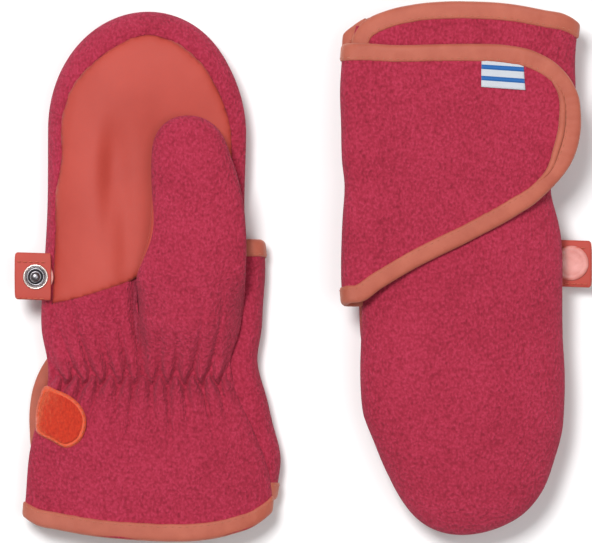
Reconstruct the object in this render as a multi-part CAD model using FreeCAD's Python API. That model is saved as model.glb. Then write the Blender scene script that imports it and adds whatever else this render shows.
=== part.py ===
import FreeCAD, Part
import math
import os

from FreeCAD import Vector

# A pair of children's fleece mittens with a wrap flap over the cuff, lying flat.
#
# The right-hand mitten lies palm up with its fingers towards +Y. The left-hand mitten is its exact
# mirror image, turned over, so it lies palm down with its fingers towards -Y.
#
# Each mitten is drawn in its own frame, in millimetres: +Y from the wrist elastic to the fingertip,
# +X towards the thumb, +Z from the back of the hand (on the table) to the palm. The row frame has
# its origin midway between the two mittens, on the table.

# ------------------------------------------------------------------ driving dimensions
CUFF_END = 68.0            # wrist elastic to the middle of the cuff's edge
FLEECE = 2.2               # thickness of the shell fleece
LINING = 1.0               # thickness of the inner lining
TAPE = 0.5                 # thickness of one layer of binding tape
BINDING_WIDTH = 6.3        # how much of the binding tape shows
SEAM_HEIGHT = 13.8         # height of the side seam between back and palm
SECTION_POWER = 2.5        # roundness of a cross-section: 2 is an ellipse, more is boxier
SECTION_POINTS = 24        # points round one cross-section

FLAP_GAP = 0.5             # binding tape stands this far below and above the flap's fleece
FLAP_FOLD_X = 49.6         # inner face of the flap where it turns up along the thumb side
FLAP_FOLD_RADIUS = 3.0     # inner radius of that fold
FLAP_HINGE_Z = 12.6        # top of the turned-up strip, where it is sewn to the cuff
HOOK_THICK = 0.7           # hook tape on the flap's inner face
LOOP_THICK = 0.7           # loop tape on the palm side of the cuff
LABEL_THICK = 0.4          # woven label, one layer
LABEL_X, LABEL_Y = (-27.8, -8.7), (-39.8, -29.8)

THUMB_ROOT = (21.5, 33.0)  # centre of the thumb's root on the palm
THUMB_HOLE = 13.0          # radius of the way from the hand pocket into the thumb
THUMB_MIDDLE_Z = 27.9      # height of the thumb's own side seam
THUMB_FLEECE = 2.0
THUMB_LINING = 0.8

ELASTIC_WIDTH = 7.0        # wrist elastic, along Y
ELASTIC_THICK = 0.8
ELASTIC_LOWEST = SEAM_HEIGHT + 0.7
SLIT_X, SLIT_END_Y = (25.0, 70.0), 8.0   # the cuff is open along the thumb side up to here
SLIT_HALF = 0.6                          # half the slit's width
THUMB_EASE = 0.5           # the heel's thumb hole is this much larger than the thumb's way

TAB_ROOT_X = -41.0         # tab leaves the side seam here
TAB_END_X = -57.0
TAB_CORNER = 1.2
TAB_LOW_Y, TAB_HIGH_Y = 33.0, 53.0
TAB_LOW_Z, TAB_HIGH_Z = 23.0, 25.0
SNAP_X, SNAP_Y = -47.5, 43.0
CAP_RADIUS, CAP_THICK = 7.4, 1.7
CAP_ROUNDING = 0.8
CAP_GROOVE = (4.0, 4.6, 0.3)   # inner radius, outer radius and depth of the ring on the cap
SHANK_RADIUS = 1.5         # the cap's shank through the tab
SHANK_SUNK = 0.4           # how far the shank is sunk into the cap and the metal half
FLANGE_RADIUS, FLANGE_THICK = 5.2, 0.8
BEAD_INSET, BEAD_RADIUS = 0.6, 0.5   # rolled rim of the flange
STUD_RADIUS, STUD_HEIGHT, STUD_CROWN = 2.0, 2.2, 0.7
SOCKET_RADIUS, SOCKET_DEPTH, SOCKET_OUTER = 2.15, 2.4, 3.6

PAIR_X, PAIR_Y = 65.7, 46.3  # each mitten's wrist centre lies this far from the origin
FAR = 90.0                 # reach of cutting solids past the mitten
FAR_Y = 190.0              # the same past the fingertip
UNDER, OVER = -10.0, 60.0  # heights of cutting solids below and above the mitten

# ------------------------------------------------------------------ the hand's cross-sections
# (y, little-finger edge x, thumb edge x, back z, palm z, how much lower the palm is under the thumb)
HAND_STATIONS = [
    (-80.0, -53.5, 50.5, 3.8, 25.0, 0.0),
    (-60.0, -51.2, 48.3, 3.8, 24.0, 0.0),
    (-40.0, -49.3, 46.0, 3.8, 23.4, 0.0),
    (-20.0, -46.5, 42.3, 3.8, 22.4, 0.0),
    (-8.0, -43.3, 37.6, 3.8, 21.2, 0.0),
    (0.0, -41.0, 35.2, 3.8, 20.6, 0.0),
    (10.0, -42.5, 37.0, 3.8, 21.5, 1.3),
    (30.0, -44.8, 39.6, 3.6, 24.4, 4.2),
    (55.0, -44.0, 41.0, 2.8, 26.5, 6.3),
    (80.0, -43.0, 41.0, 1.2, 27.0, 6.8),
    (105.0, -42.3, 40.8, 0.4, 27.0, 6.8),
    (125.0, -37.6, 36.0, 1.5, 25.4, 3.8),
    (138.0, -29.6, 29.0, 3.8, 22.8, 1.2),
    (147.0, -20.0, 20.0, 6.6, 20.2, 0.0),
    (152.0, -11.8, 11.8, 9.2, 17.6, 0.0),
    (154.6, -5.0, 5.0, 11.4, 15.6, 0.0),
]
DIP_START, DIP_RUN = -16.0, 18.0  # the palm steps down towards the thumb over this stretch of x

# (y, centre x, half width, half height)
THUMB_STATIONS = [
    (14.0, 22.0, 8.0, 2.8),
    (20.0, 22.0, 14.0, 5.2),
    (33.0, 21.5, 19.0, 6.6),
    (50.0, 21.0, 20.0, 6.8),
    (66.0, 21.0, 19.8, 6.8),
    (82.0, 20.0, 18.6, 6.6),
    (95.0, 18.5, 16.0, 6.2),
    (104.0, 17.5, 11.5, 5.0),
    (109.5, 17.0, 5.0, 2.4),
]

# ------------------------------------------------------------------ outlines seen from the palm
CUFF_EDGE = [(-62, -54.5), (-52, -58), (-40, -61.5), (-15, -66.6), (10, -CUFF_END),
             (32, -66), (45, -61.5), (50.5, -56.5), (53, -49), (55, -38)]
PALM_SEAM = [(-62, -84), (-58, -45), (-47, -18), (-37, 0), (-36.5, 12), (-40, 32), (-39.4, 58),
             (-37.4, 82), (-36, 104), (-31.5, 120), (-22, 133.4), (-10.5, 141.8), (0, 144.2),
             (10.5, 141.6), (22, 133), (31, 120.5), (35.4, 104), (36, 82), (36, 50), (34, 18),
             (31, 0), (42, -18), (54, -45), (58, -84)]
PATCH_SEAM = [(-70, 21.8), (70, 68.4)]          # straight seam from patch to heel of the palm
FLAP_EDGE = [(60, -48.6), (38, -49.8), (12, -49.5), (-11, -49.3), (-27, -47), (-40, -41),
             (-46.6, -32.5), (-49, -19), (-47, -5), (-40.5, 8.5), (-27.5, 20), (-8, 29.4),
             (15, 40.6), (36, 52.2), (48, 60.5), (60, 69)]
LOOP_PATCH = [(-46.5, -22), (-46, -9), (-43, -3.5), (-35, -6), (-27.5, -10), (-24.6, -17),
              (-26, -24), (-31, -28.5), (-39, -26.5), (-46.5, -22)]
HOOK_PATCH = [(-42, -22), (-38.5, -5.5), (-31, 1.5), (-22, -6), (-20, -22), (-25, -33),
              (-34, -34.5), (-42, -22)]


# ------------------------------------------------------------------ helpers
def smooth(t):
    """0 below 0, 1 above 1, and a smooth step between."""
    t = min(1.0, max(0.0, t))
    return t * t * (3 - 2 * t)


def oval(y, middle_x, middle_z, half_w, half_h, dip=0.0):
    """A closed cross-section across Y, flat-sided as SECTION_POWER says."""
    power = 2.0 / SECTION_POWER
    points = []
    for k in range(SECTION_POINTS):
        angle = 2 * math.pi * k / SECTION_POINTS
        across, up = math.cos(angle), math.sin(angle)
        x = middle_x + half_w * math.copysign(abs(across) ** power, across)
        z = middle_z + half_h * math.copysign(abs(up) ** power, up)
        if up > 0:
            z -= dip * smooth((x - DIP_START) / DIP_RUN) * abs(up) ** power
        points.append(Vector(x, y, z))
    curve = Part.BSplineCurve()
    curve.interpolate(points, PeriodicFlag=True)
    return Part.Wire(curve.toShape())


def hand_solid(inset, y_last=200.0, thinnest=0.9):
    """The hand and cuff as one solid, taken in by inset all round."""
    wires = []
    for y, little, thumb, back, palm, dip in HAND_STATIONS:
        half_w = (thumb - little) / 2 - inset
        half_h = (palm - back) / 2 - inset
        if y > y_last or half_h < thinnest or half_w < thinnest:
            continue
        wires.append(oval(y, (little + thumb) / 2, (back + palm) / 2, half_w, half_h, dip))
    return Part.makeLoft(wires, True, False)


def thumb_solid(inset):
    """The thumb as one closed solid, taken in by inset all round."""
    wires = []
    for y, middle_x, half_w, half_h in THUMB_STATIONS:
        if half_h - inset >= 0.8:
            wires.append(oval(y, middle_x, THUMB_MIDDLE_Z, half_w - inset, half_h - inset))
    return Part.makeLoft(wires, True, False)


def spline(points):
    curve = Part.BSplineCurve()
    curve.interpolate([Vector(x, y, 0) for x, y in points])
    return curve


def beside(curve, distance, count=30):
    """The curve moved to its left by distance."""
    first, last = curve.FirstParameter, curve.LastParameter
    moved = []
    for k in range(count + 1):
        u = first + (last - first) * k / count
        point, tangent = curve.value(u), curve.tangent(u)[0]
        moved.append((point.x - distance * tangent.y, point.y + distance * tangent.x))
    return spline(moved)


def prism(curve, corners, z_low, z_high):
    """A solid between two heights, whose plan is the curve closed through the corners."""
    ends = [curve.value(curve.LastParameter)]
    ends += [Vector(x, y, 0) for x, y in corners]
    ends += [curve.value(curve.FirstParameter)]
    edges = [curve.toShape()]
    for a, b in zip(ends, ends[1:]):
        if (a - b).Length > 1e-6:
            edges.append(Part.LineSegment(a, b).toShape())
    face = Part.Face(Part.Wire(edges))
    face.translate(Vector(0, 0, z_low))
    return face.extrude(Vector(0, 0, z_high - z_low))


def box(x, y, z):
    """A box from three (low, high) pairs."""
    size = (x[1] - x[0], y[1] - y[0], z[1] - z[0])
    return Part.makeBox(*size, Vector(x[0], y[0], z[0]))


def post(radius, z_low, z_high, x, y):
    return Part.makeCylinder(radius, z_high - z_low, Vector(x, y, z_low))


def largest(shape):
    """The biggest solid of a shape, which drops slivers left by a cut."""
    return max(shape.Solids, key=lambda s: s.Volume)


# ------------------------------------------------------------------ hand and cuff
def hand_parts():
    outside = hand_solid(0.0)
    shell_inside = hand_solid(FLEECE)
    pocket = hand_solid(FLEECE + LINING)
    over = hand_solid(-LOOP_THICK, y_last=60)
    under = hand_solid(FLEECE + LINING + ELASTIC_THICK, y_last=60)

    edge = spline(CUFF_EDGE)
    corners = [(FAR, 0), (FAR, FAR_Y), (-FAR, FAR_Y), (-FAR, 0)]
    whole = prism(edge, corners, UNDER, OVER)
    past_binding = prism(beside(edge, BINDING_WIDTH), corners, UNDER, OVER)
    to_tape = prism(beside(edge, -TAPE), corners, UNDER, OVER)

    thumb_x, thumb_y = THUMB_ROOT
    hole = post(THUMB_HOLE + THUMB_EASE, SEAM_HEIGHT, OVER, thumb_x, thumb_y)
    lining_hole = post(THUMB_HOLE - THUMB_LINING, SEAM_HEIGHT, OVER, thumb_x, thumb_y)
    slit = box(SLIT_X, (-FAR, SLIT_END_Y), (SEAM_HEIGHT - SLIT_HALF, SEAM_HEIGHT + SLIT_HALF))

    shell = outside.cut(shell_inside).common(whole)
    palm_side = prism(spline(PALM_SEAM), [], SEAM_HEIGHT, OVER)
    line_a, line_b = (Vector(x, y, 0) for x, y in PATCH_SEAM)
    patch_line = Part.BSplineCurve()
    patch_line.interpolate([line_a, line_b])
    fingers = prism(patch_line, [(FAR, FAR_Y), (-FAR, FAR_Y)], UNDER, OVER)

    palm = shell.common(palm_side)
    lining = shell_inside.cut(pocket).common(whole)
    binding = over.cut(under).common(to_tape).cut(past_binding).cut(shell).cut(lining).cut(slit)
    half_elastic = ELASTIC_WIDTH / 2
    elastic_zone = box((-FAR, FAR), (-half_elastic, half_elastic), (ELASTIC_LOWEST, OVER))
    loop_zone = prism(spline(LOOP_PATCH), [], SEAM_HEIGHT, OVER)
    return {
        "back_panel": largest(shell.cut(palm_side).cut(slit)),
        "palm_patch": largest(palm.common(fingers)),
        "palm_heel": largest(palm.cut(fingers).cut(hole).cut(slit)),
        "hand_lining": largest(lining.cut(lining_hole).cut(slit)),
        "cuff_binding": binding,
        "wrist_elastic": largest(pocket.cut(under).common(elastic_zone)),
        "loop_patch": largest(over.cut(outside).common(loop_zone)),
    }


# ------------------------------------------------------------------ thumb
def thumb_parts():
    outside = thumb_solid(0.0)
    shell_inside = thumb_solid(THUMB_FLEECE)
    pocket = thumb_solid(THUMB_FLEECE + THUMB_LINING)
    thumb_x, thumb_y = THUMB_ROOT
    hole_top = THUMB_MIDDLE_Z - 0.5
    hole = post(THUMB_HOLE, 0, hole_top, thumb_x, thumb_y)
    lining_hole = post(THUMB_HOLE - THUMB_LINING, 0, hole_top, thumb_x, thumb_y)
    upper = box((-FAR, FAR), (-FAR, FAR_Y), (THUMB_MIDDLE_Z, OVER))
    shell = outside.cut(shell_inside)
    return {
        "thumb_front": largest(shell.common(upper)),
        "thumb_back": largest(shell.cut(upper).cut(hole)),
        "thumb_lining": largest(shell_inside.cut(pocket).cut(lining_hole)),
    }


# ------------------------------------------------------------------ wrap flap
def flap_sheet(gap):
    """The flap as a bent plate: flat under the cuff, then turned up along the thumb side.

    gap 0 is the fleece itself, and more adds that much to both faces.
    """
    low, high = FLAP_GAP - gap, FLAP_GAP + FLEECE + gap
    inner_x, outer_x = FLAP_FOLD_X - gap, FLAP_FOLD_X + FLEECE + gap
    inner_r, outer_r = FLAP_FOLD_RADIUS - gap, FLAP_FOLD_RADIUS + FLEECE + gap
    turn = math.sqrt(0.5)

    def at(x, z):
        return Vector(x, -FAR, z)

    outer_arc = Part.Arc(at(outer_x - outer_r, low),
                         at(outer_x - outer_r + outer_r * turn, low + outer_r - outer_r * turn),
                         at(outer_x, low + outer_r))
    inner_arc = Part.Arc(at(inner_x, high + inner_r),
                         at(inner_x - inner_r + inner_r * turn, high + inner_r - inner_r * turn),
                         at(inner_x - inner_r, high))
    edges = [
        Part.LineSegment(at(-FAR, low), at(outer_x - outer_r, low)),
        outer_arc,
        Part.LineSegment(at(outer_x, low + outer_r), at(outer_x, FLAP_HINGE_Z)),
        Part.LineSegment(at(outer_x, FLAP_HINGE_Z), at(inner_x, FLAP_HINGE_Z)),
        Part.LineSegment(at(inner_x, FLAP_HINGE_Z), at(inner_x, high + inner_r)),
        inner_arc,
        Part.LineSegment(at(inner_x - inner_r, high), at(-FAR, high)),
        Part.LineSegment(at(-FAR, high), at(-FAR, low)),
    ]
    face = Part.Face(Part.Wire([e.toShape() for e in edges]))
    return face.extrude(Vector(0, 2 * FAR, 0))


def flap_parts():
    edge = spline(FLAP_EDGE)
    trimmed = prism(beside(edge, -TAPE), [], UNDER, OVER)
    inner = prism(beside(edge, -BINDING_WIDTH), [], UNDER, OVER)
    fleece = flap_sheet(0.0).common(trimmed)
    tape = flap_sheet(FLAP_GAP).common(prism(edge, [], UNDER, OVER)).cut(inner).cut(fleece)
    hook_low = FLAP_GAP + FLEECE
    hook = prism(spline(HOOK_PATCH), [], hook_low, hook_low + HOOK_THICK)
    label = box(LABEL_X, LABEL_Y, (FLAP_GAP - LABEL_THICK, FLAP_GAP))
    return {
        "wrap_flap": largest(fleece),
        "flap_binding": largest(tape),
        "hook_patch": hook,
        "woven_label": label,
    }


# ------------------------------------------------------------------ tab and its press fastener
def tab_parts(half):
    """The tab with its fastener; half is "stud" or "socket"."""
    strap = box((TAB_END_X, TAB_ROOT_X), (TAB_LOW_Y, TAB_HIGH_Y), (TAB_LOW_Z, TAB_HIGH_Z))
    rounded = [e for e in strap.Edges
               if e.BoundBox.ZLength > 1 and e.BoundBox.XMax < TAB_END_X + 1]
    strap = strap.makeFillet(TAB_CORNER, rounded)
    strap = strap.cut(post(SHANK_RADIUS, 0, OVER, SNAP_X, SNAP_Y))

    cap = post(CAP_RADIUS, TAB_LOW_Z - CAP_THICK, TAB_LOW_Z, SNAP_X, SNAP_Y)
    rim = [e for e in cap.Edges if abs(e.BoundBox.ZMax - (TAB_LOW_Z - CAP_THICK)) < 1e-3]
    cap = cap.makeFillet(CAP_ROUNDING, [e for e in rim if e.BoundBox.XLength > CAP_RADIUS])
    groove_inner, groove_outer, groove_depth = CAP_GROOVE
    groove = post(groove_outer, 0, TAB_LOW_Z - CAP_THICK + groove_depth, SNAP_X, SNAP_Y)
    groove = groove.cut(post(groove_inner, 0, OVER, SNAP_X, SNAP_Y))
    shank_top = TAB_HIGH_Z + SHANK_SUNK
    shank = post(SHANK_RADIUS, TAB_LOW_Z - SHANK_SUNK, shank_top, SNAP_X, SNAP_Y)
    cap = cap.cut(groove).fuse(shank).removeSplitter()

    flange_top = TAB_HIGH_Z + FLANGE_THICK
    shank_hole = post(SHANK_RADIUS, TAB_HIGH_Z - 1, shank_top, SNAP_X, SNAP_Y)
    bead_centre = Vector(SNAP_X, SNAP_Y, flange_top)
    bead = Part.makeTorus(FLANGE_RADIUS - BEAD_INSET, BEAD_RADIUS, bead_centre)
    metal = post(FLANGE_RADIUS, TAB_HIGH_Z, flange_top, SNAP_X, SNAP_Y).fuse(bead)
    if half == "stud":
        stud_top = flange_top + STUD_HEIGHT
        boss = post(STUD_RADIUS, TAB_HIGH_Z, stud_top, SNAP_X, SNAP_Y)
        crown = Part.makeSphere(STUD_RADIUS, Vector(SNAP_X, SNAP_Y, stud_top))
        crown = crown.common(post(STUD_RADIUS + 1, 0, stud_top + STUD_CROWN, SNAP_X, SNAP_Y))
        metal = metal.fuse(boss).fuse(crown)
    else:
        ring = post(SOCKET_OUTER, TAB_HIGH_Z, flange_top + SOCKET_DEPTH, SNAP_X, SNAP_Y)
        well = post(SOCKET_RADIUS, flange_top, OVER, SNAP_X, SNAP_Y)
        metal = metal.fuse(ring).cut(well)
    metal = metal.cut(shank_hole).removeSplitter()
    return {"tab_strap": strap, "snap_cap": cap, "snap_" + half: largest(metal)}


# ------------------------------------------------------------------ the pair
def to_right(shape):
    """From the mitten's own frame to the right-hand mitten's place."""
    return shape.translated(Vector(-PAIR_X, -PAIR_Y, 0))


def to_left(shape, height):
    """The mirror image of the right-hand mitten, through the middle of the pair."""
    image = to_right(shape).mirror(Vector(0, 0, height / 2), Vector(0, 0, 1))
    image.rotate(Vector(0, 0, 0), Vector(0, 0, 1), 180)
    return image


def build():
    """Every node's solid, and the height of the pair."""
    common = {}
    for make in (hand_parts, thumb_parts, flap_parts):
        common.update(make())
    height = common["thumb_front"].BoundBox.ZMax
    nodes = {}
    for name, shape in {**common, **tab_parts("stud")}.items():
        nodes["right_" + name] = to_right(shape)
    for name, shape in {**common, **tab_parts("socket")}.items():
        nodes["left_" + name] = to_left(shape, height)
    return nodes, height


def main():
    os.makedirs("parts", exist_ok=True)
    nodes, height = build()
    for name, shape in nodes.items():
        if not shape.isValid():
            print("not valid:", name)
        shape.exportStep("parts/" + name + ".step")
        print(name, len(shape.Solids), "solid,", round(shape.Volume, 1), "mm3")
    print("height of the pair", round(height, 3), "mm")


main()
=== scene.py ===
import math

import bmesh
import bpy
import numpy as np
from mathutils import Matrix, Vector, noise
from mathutils.geometry import delaunay_2d_cdt


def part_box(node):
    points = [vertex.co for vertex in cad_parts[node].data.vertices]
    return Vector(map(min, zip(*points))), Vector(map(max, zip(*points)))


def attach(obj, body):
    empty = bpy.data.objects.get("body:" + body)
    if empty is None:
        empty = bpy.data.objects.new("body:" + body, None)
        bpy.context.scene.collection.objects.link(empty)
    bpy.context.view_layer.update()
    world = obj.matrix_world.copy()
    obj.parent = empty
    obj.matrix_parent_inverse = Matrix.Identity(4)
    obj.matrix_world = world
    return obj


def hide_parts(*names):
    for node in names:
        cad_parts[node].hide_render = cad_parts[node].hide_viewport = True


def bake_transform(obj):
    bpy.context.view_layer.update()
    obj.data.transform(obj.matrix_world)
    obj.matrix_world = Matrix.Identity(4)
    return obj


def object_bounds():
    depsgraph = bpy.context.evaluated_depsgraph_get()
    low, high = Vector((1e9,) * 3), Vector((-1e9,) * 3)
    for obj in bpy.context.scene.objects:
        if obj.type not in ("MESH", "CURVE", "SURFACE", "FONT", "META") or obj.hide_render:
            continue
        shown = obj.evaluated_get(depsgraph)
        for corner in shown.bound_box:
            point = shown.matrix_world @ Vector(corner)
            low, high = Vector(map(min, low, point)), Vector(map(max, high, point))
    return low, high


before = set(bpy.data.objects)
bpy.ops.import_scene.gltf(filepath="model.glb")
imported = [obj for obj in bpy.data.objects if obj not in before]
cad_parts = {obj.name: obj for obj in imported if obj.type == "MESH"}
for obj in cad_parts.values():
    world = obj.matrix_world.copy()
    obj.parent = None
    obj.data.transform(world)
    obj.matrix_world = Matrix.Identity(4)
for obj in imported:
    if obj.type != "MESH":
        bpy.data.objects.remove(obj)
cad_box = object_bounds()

# A pair of fleece mittens with a wrap flap over the cuff. One mitten is drawn in its own frame, in
# millimetres: +Y to the fingertip, +X to the thumb, +Z from the back of the hand to the palm. It is
# placed once as the right-hand mitten, palm up, and once, inverted through the pair's middle, as the
# left-hand mitten, palm down.

MM = 0.001
SNAP = (-47.5, 43.0)          # middle of the press fastener in the mitten's own frame
cap_low, cap_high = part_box("right_snap_cap")
ORIGIN = ((cap_low[0] + cap_high[0]) / 2 / MM - SNAP[0], (cap_low[1] + cap_high[1]) / 2 / MM - SNAP[1])
HEIGHT = cad_box[1][2] / MM   # of the pair, and so the plane in which the left mitten is inverted
SIDES = ("right", "left")

POWER = 2.3                   # roundness of a cross-section
SEAM_Z = 13.8                 # height of the side seam
TIP_Y, TIP_B = 106.0, 50.2    # the hand's end is half an oval of this length from here
FLEECE, SOFTSHELL = 2.1, 1.2   # thickness of the cloths
BINDING = 6.8                 # visible width of the binding tape
CUFF_Y = -60.0                # about the cuff's hem
STITCH_INSET = 1.15           # of the binding's stitches from its inner edge


# ------------------------------------------------------------------ curves
def through(points):
    """A smooth function through (t, value) points, held at its end values outside them."""
    t, v = (np.array(column, float) for column in zip(*points))
    slope = np.gradient(v, t)

    def value(u):
        u = np.clip(np.asarray(u, float), t[0], t[-1])
        k = np.clip(np.searchsorted(t, u) - 1, 0, len(t) - 2)
        h = t[k + 1] - t[k]
        s = (u - t[k]) / h
        near = (1 + 2 * s) * (1 - s) ** 2 * v[k] + s * (1 - s) ** 2 * h * slope[k]
        far = s * s * (3 - 2 * s) * v[k + 1] + s * s * (s - 1) * h * slope[k + 1]
        return near + far

    return value


def trace(points, count, closed=False):
    """count points at even steps along a smooth curve through the given ones."""
    p = np.array(points, float)
    if closed:
        p = np.vstack([p[-3:], p, p[:3]])
    run = np.concatenate([[0], np.cumsum(np.linalg.norm(np.diff(p, axis=0), axis=1))])
    axes = [through(list(zip(run, p[:, k]))) for k in range(p.shape[1])]
    first, last = (run[3], run[-3]) if closed else (0, run[-1])
    fine = np.linspace(first, last, count * 8)
    q = np.stack([a(fine) for a in axes], 1)
    along = np.concatenate([[0], np.cumsum(np.linalg.norm(np.diff(q, axis=0), axis=1))])
    steps = np.linspace(0, along[-1], count, endpoint=not closed)
    return np.stack([np.interp(steps, along, q[:, k]) for k in range(p.shape[1])], 1)


def smooth(t):
    t = np.clip(t, 0, 1)
    return t * t * (3 - 2 * t)


def dome(rho):
    return (1 - np.clip(np.abs(rho), 0, 1) ** POWER) ** (1 / POWER)


def distance_to(points, path):
    """Distance of each plan point to a path of points."""
    a, b = path[:-1], path[1:]
    best = np.full(len(points), 1e9)
    for start, end in zip(a, b):
        d = end - start
        t = np.clip(((points - start) @ d) / max(d @ d, 1e-12), 0, 1)
        best = np.minimum(best, np.linalg.norm(points - start - t[:, None] * d, axis=1))
    return best


def lumps(co, size, amount, seed=0):
    """Soft random unevenness of the given size, one value per point."""
    shift = Vector((seed * 17.3, seed * -9.1, seed * 5.7))
    return amount * np.array([noise.noise(Vector(p) / size + shift) for p in co])


# ------------------------------------------------------------------ the mitten's shape
little_edge = through([(-75, -54), (-57, -52.2), (-50, -51.4), (-28, -49), (-12, -44.8), (0, -41.4),
                       (7, -41.3), (23, -44.2), (35, -44.7), (55, -43.8), (76, -42.8), (106, -42.3)])
thumb_edge = through([(-75, 54), (-57, 51.5), (-45, 51.5), (-37, 50), (-20, 44), (-3, 37.4), (8, 35.4),
                      (23, 39.4), (45, 40.8), (84, 41), (106, 42.3)])
palm_top = through([(-75, 25), (-60, 24), (-40, 23.4), (-20, 22.4), (-8, 21.2), (0, 20.6), (10, 21.5),
                    (30, 24.4), (55, 26.5), (80, 27), (106, 27)])
back_low = through([(-75, 3.8), (10, 3.8), (30, 3.6), (55, 2.8), (80, 1.4), (106, 0.8)])
dip_depth = through([(-10, 0), (0, 0), (10, 1.3), (30, 4.2), (55, 6.3), (80, 6.8), (106, 6.6),
                     (125, 3.6), (140, 0.8), (150, 0)])
hem = through([(-56, -53.5), (-52.3, -57), (-47, -60), (-37.8, -62), (-21, -65), (-6, -66.4),
               (8, -66.8), (22, -65.8), (35, -62.8), (46, -58.4), (52, -53.5), (57, -46)])


def oval(y):
    """Middle and half width of the hand at y, and how far y is into the rounded end."""
    end = np.clip((y - TIP_Y) / TIP_B, 0, 1)
    middle = (little_edge(y) + thumb_edge(y)) / 2
    return middle, (thumb_edge(y) - little_edge(y)) / 2, end


def radius(x, y, inset=0.0):
    middle, half, _ = oval(y)
    end = np.clip((y - TIP_Y) / (TIP_B - inset), 0, 1)
    return np.sqrt(((x - middle) / (half - inset)) ** 2 + end ** 2)


def palm_z(x, y, inset=0.0):
    d = dome(radius(x, y, inset))
    z = SEAM_Z + (palm_top(y) - inset - SEAM_Z) * d
    z = z - dip_depth(y) * smooth((x + 22) / 30) * d
    # soft hollow in the middle of the palm, running down towards the little finger
    u = (x + 14.5 + 0.05 * (98 - y)) / np.where(x < -14.5, 5.2, 7.0)
    v = (y - 92) / np.where(y > 92, 16, 26)
    z = z - 4.4 * np.exp(-u * u - v * v)
    # streak from the hollow to the crotch of the thumb
    v = (y - 62) / 24
    u = (x + 9.5) / 4.2
    return z - 1.5 * np.exp(-u * u - v * v)


def back_z(x, y, inset=0.0):
    return SEAM_Z - (SEAM_Z - back_low(y) - inset) * dome(radius(x, y, inset))


def bag(angle, y, inset=0.0):
    """A point of the hand's surface: angle 0 is mid palm, 90 the thumb edge, 180 mid back."""
    middle, half, end = oval(y)
    end = np.clip((y - TIP_Y) / (TIP_B - inset), 0, 0.99999)
    s, c = np.sin(np.radians(angle)), np.cos(np.radians(angle))
    rho = np.sign(s) * np.abs(s) ** (2 / POWER)
    x = middle + (half - inset) * np.sqrt(1 - end * end) * rho
    z = np.where(c >= 0, palm_z(x, y, inset), back_z(x, y, inset))
    return np.stack(np.broadcast_arrays(x, y, z), -1)


# ------------------------------------------------------------------ seams on the palm
seam_little = through([(-75, -60), (-20, -50), (4, -42), (14, -41.2), (24, -40.4), (33, -40.2),
                       (60, -39.6), (80, -38.9), (94, -36.4), (106, -36.5)])
seam_thumb = through([(-75, 60), (12, 38), (24, 36), (50, 35.6), (80, 35.8), (106, 35.9)])
SEAM_ROUND = [(-36.5, 106), (-35.6, 112), (-31.2, 124), (-25, 131.5), (-17.5, 138.2), (-9, 143.4),
              (0, 146), (9.5, 143.6), (18.5, 138), (26, 130.4), (30.4, 123.4), (34.8, 111.5),
              (35.9, 106)]
PATCH_LOW = [(-40.2, 33.4), (-30, 35.6), (-18, 39.3), (-10, 42), (-5, 44.6), (2, 47), (12, 49.5),
             (24, 52), (35.6, 54)]


def seam_path():
    """The seam round the palm, from the little finger's side over the fingertips to the thumb's."""
    up = [(seam_little(y), y) for y in np.arange(33.4, 105, 1.5)]
    down = [(seam_thumb(y), y) for y in np.arange(104.5, 53, -1.5)]
    return np.vstack([up, trace(SEAM_ROUND, 90), down])


SEAM = seam_path()


def round_seam_radius():
    """Where the seam crosses each ray of the rounded end, as a share of the ray."""
    p = trace(SEAM_ROUND, 60)
    a = thumb_edge(TIP_Y)
    u, v = p[:, 0] / a, (p[:, 1] - TIP_Y) / TIP_B
    rows = sorted(zip(np.degrees(np.arctan2(v, u)), np.hypot(u, v)))
    return through(rows)


def groove(co, path, depth=1.3, reach=1.6):
    """How far cloth turns in beside a seam."""
    return depth * np.exp(-distance_to(co[:, :2], path) / reach)


# ------------------------------------------------------------------ meshes
def grid(rows, columns, closed=False):
    faces = []
    for i in range(rows - 1):
        for j in range(columns - (0 if closed else 1)):
            k = (j + 1) % columns
            faces.append((i * columns + j, i * columns + k, (i + 1) * columns + k, (i + 1) * columns + j))
    return faces


def fill(outline, step):
    """Plan points and triangles inside a closed outline, with the outline's points on its edge."""
    n = len(outline)
    lo, hi = outline.min(0), outline.max(0)
    points = [tuple(p) for p in outline]
    path = np.vstack([outline, outline[:1]])
    inner = []
    row = 0
    y = lo[1]
    while y < hi[1]:
        offset = step / 2 if row % 2 else 0
        inner += [(x + offset, y) for x in np.arange(lo[0], hi[0], step)]
        y += step * 0.87
        row += 1
    inner = np.array(inner)
    inner = inner[distance_to(inner, path) > step * 0.62]
    points += [tuple(p) for p in inner]
    edges = [(k, (k + 1) % n) for k in range(n)]
    out = delaunay_2d_cdt([Vector(p) for p in points], edges, [], 1, 1e-4)
    return np.array([tuple(v) for v in out[0]]), [tuple(f) for f in out[2]]


HALF_HAND = 36                # from here outwards an edge's whole shift applies

# How each mitten's soft edges lie a little off the common shape: towards the little finger, towards
# the thumb, and at the cuff's hem.
LIE_LITTLE = {
    "right": through([(-60, -0.2), (-20, -0.9), (0, -1.0), (20, -0.9), (40, 0.0), (60, 0.4), (90, 0.2),
                      (150, -0.5)]),
    "left": through([(-64, 3.0), (-40, 2.8), (-22, 0.5), (0, 1.8), (14, 4.6), (32, 2.8), (52, 1.6), (70, 0.6),
                     (90, -0.9), (110, -0.5), (125, 0.2), (142, -2.0), (150, -3.2), (156, -2.4)])}
LIE_THUMB = {
    "right": through([(-60, 0.0), (-30, 0.6), (0, -0.6), (60, -0.4), (90, -0.5), (112, -1.3), (135, -1.6),
                      (156, -0.4)]),
    "left": through([(-60, -2.6), (-48, -2.4), (-25, -0.6), (0, 0.4), (60, 0.8), (92, 0.9), (103, -0.6),
                     (118, -4.8), (134, -6.0), (144, -5.6), (156, -3.0)])}
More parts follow.
